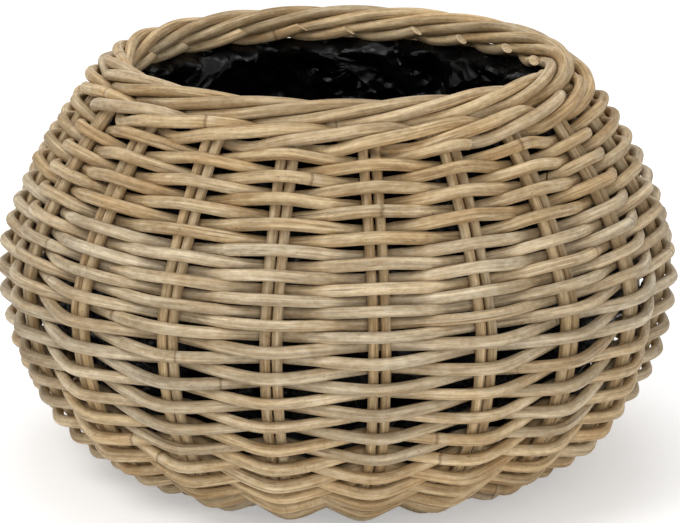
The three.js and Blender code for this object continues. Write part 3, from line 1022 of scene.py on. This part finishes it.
def crumpled(place, rise, waves):
    """How a point of the film is moved by its folds and creases: inwards, or up on the floor."""
    folds, fold_depth = 24, 0.0075
    floor_rise = 0.004             # below this share of its height the film lies on the floor
    flat_radius, floor_share = 0.1, 0.2
    fade = 0.05                    # the folds fade in and out over this share of its height
    angle = math.atan2(place.y, place.x)
    turn = Vector((math.cos(angle), math.sin(angle), 0))
    spot = Vector((2.6 * turn.x, 2.6 * turn.y, place.z * 13))
    round_share = angle / (2 * math.pi)
    # The folds run upwards, but wander, in turns of one fold
    sway = 0.25 * math.sin(3 * math.pi * rise) + 0.9 * noise.noise(spot)
    push = fold_depth * math.sin(math.pi * min(max(rise, 0.04), 0.96)) * zigzag(folds * round_share + sway)
    for i, (waves_round, waves_up, start, deep) in enumerate(waves):
        bend = 0.7 * noise.noise(spot * 1.3 + Vector((0, 0, 5 * i)))
        strength = 0.5 + 0.9 * noise.noise(spot * 0.8 + Vector((7 * i, 0, 0)))
        turns = waves_round * round_share + waves_up * place.z + start + bend
        push += deep * max(strength, 0) * zigzag(turns) ** 1.4
    if rise < floor_rise:
        flat_share = min(Vector((place.x, place.y)).length / flat_radius, 1)
        return Vector((0, 0, floor_share * push * flat_share))
    return -turn * push * eased(rise / fade) * eased((1.01 - rise) / fade)


# Stage

class PLANTER_OT_stage(bpy.types.Operator):
    """Pale floor, soft studio lights and the camera"""

    bl_idname = "scene.planter_stage"
    bl_label = "Stage"

    def execute(self, context):
        make_floor(context)
        make_world(context)
        make_lights(context)
        make_camera(context)
        context.scene.view_settings.view_transform = "Standard"
        return {"FINISHED"}


def make_floor(context):
    """Pale floor, lifted towards white where it is seen, so that only the shadow stays."""
    radius, glow = 6, 0.35
    mesh = bpy.data.meshes.new("ground")
    bm = bmesh.new()
    bmesh.ops.create_circle(bm, cap_ends=True, segments=96, radius=radius)
    bm.to_mesh(mesh)
    bm.free()
    material, b, shader = new_material("pale_ground")
    shader.inputs["Base Color"].default_value = (*colours().ground, 1)
    shader.inputs["Roughness"].default_value = 0.9
    shader.inputs["Emission Color"].default_value = WHITE
    b.join(b.math("MULTIPLY", b.seen(), glow), shader.inputs["Emission Strength"])
    mesh.materials.append(material)
    ground = bpy.data.objects.new("ground", mesh)
    context.scene.collection.objects.link(ground)


def make_world(context):
    """Soft light from all round, and a plain white background wherever it is seen or mirrored."""
    light = 0.56
    world = bpy.data.worlds.new("studio")
    context.scene.world = world
    world.use_nodes = True
    b = Bench(world.node_tree)
    background = world.node_tree.nodes["Background"]
    background.inputs["Color"].default_value = WHITE
    strength = b.math("ADD", light, b.math("MULTIPLY", b.seen(), 1 - light))
    b.join(strength, background.inputs["Strength"])


def make_lights(context):
    """Round lamps: name, place, aim, width in metres and power in watts."""
    for name, place, aim, size, power in (
        ("key", (-0.9, -1.3, 1.9), (0, 0, 0.15), 1.1, 16.2),
        ("fill", (0.9, -1.9, 0.45), (0, 0, 0.12), 1.3, 12),
        ("top", (0, 0.3, 2.2), (0, 0, 0.2), 1.4, 12),
    ):
        lamp = bpy.data.lights.new(name, "AREA")
        lamp.shape = "DISK"
        lamp.size = size
        lamp.energy = power
        holder = bpy.data.objects.new(name, lamp)
        holder.location = place
        holder.rotation_euler = (Vector(aim) - Vector(place)).to_track_quat("-Z", "Y").to_euler()
        context.scene.collection.objects.link(holder)


def make_camera(context):
    """The photograph's camera: a long lens, a little above the rim."""
    frame_width, frame_height = 680, 523
    focal_pixels = 2891.4
    aim_x, aim_y = 338, 244.9
    elevation = math.radians(16.1)
    azimuth = math.radians(-78.2)
    distance = 2.15
    aim = Vector((0, 0, 0.1596))
    away = Vector((
        math.cos(elevation) * math.cos(azimuth),
        math.cos(elevation) * math.sin(azimuth),
        math.sin(elevation),
    ))
    lens = bpy.data.cameras.new("camera")
    lens.sensor_width = 36
    lens.lens = focal_pixels * lens.sensor_width / frame_width
    lens.shift_x = (frame_width / 2 - aim_x) / frame_width
    lens.shift_y = (aim_y - frame_height / 2) / frame_width
    lens.clip_end = 50
    camera = bpy.data.objects.new("camera", lens)
    camera.location = aim + away * distance
    camera.rotation_euler = (-away).to_track_quat("-Z", "Y").to_euler()
    context.scene.collection.objects.link(camera)
    context.scene.camera = camera


class PLANTER_PT_panel(bpy.types.Panel):
    """Lists the planter's pieces and their sizes and colours"""

    bl_idname = "PLANTER_PT_panel"
    bl_label = "Rattan planter"
    bl_space_type = "VIEW_3D"
    bl_region_type = "UI"
    bl_category = "Planter"

    def draw(self, context):
        layout = self.layout
        for operator in OPERATORS:
            layout.operator(operator.bl_idname)
        for group in (context.scene.planter_sizes, context.scene.planter_colours):
            column = layout.column(align=True)
            for key in group.bl_rna.properties.keys():
                if key not in {"rna_type", "name"}:
                    column.prop(group, key)


OPERATORS = (
    PLANTER_OT_stage,
    PLANTER_OT_rods,
    PLANTER_OT_weavers,
    PLANTER_OT_wale,
    PLANTER_OT_core,
    PLANTER_OT_tie,
    PLANTER_OT_liner,
)
CLASSES = (PlanterSizes, PlanterColours, *OPERATORS, PLANTER_PT_panel)


def register():
    for cls in CLASSES:
        bpy.utils.register_class(cls)
    bpy.types.Scene.planter_sizes = bpy.props.PointerProperty(type=PlanterSizes)
    bpy.types.Scene.planter_colours = bpy.props.PointerProperty(type=PlanterColours)


def unregister():
    del bpy.types.Scene.planter_colours
    del bpy.types.Scene.planter_sizes
    for cls in reversed(CLASSES):
        bpy.utils.unregister_class(cls)


def main():
    register()
    bpy.ops.scene.planter_stage()
    bpy.ops.mesh.planter_rods()
    bpy.ops.mesh.planter_weavers()
    bpy.ops.mesh.planter_wale()
    bpy.ops.mesh.planter_core()
    bpy.ops.mesh.planter_tie()
    bpy.ops.mesh.planter_liner()


if __name__ == "__main__":
    main()
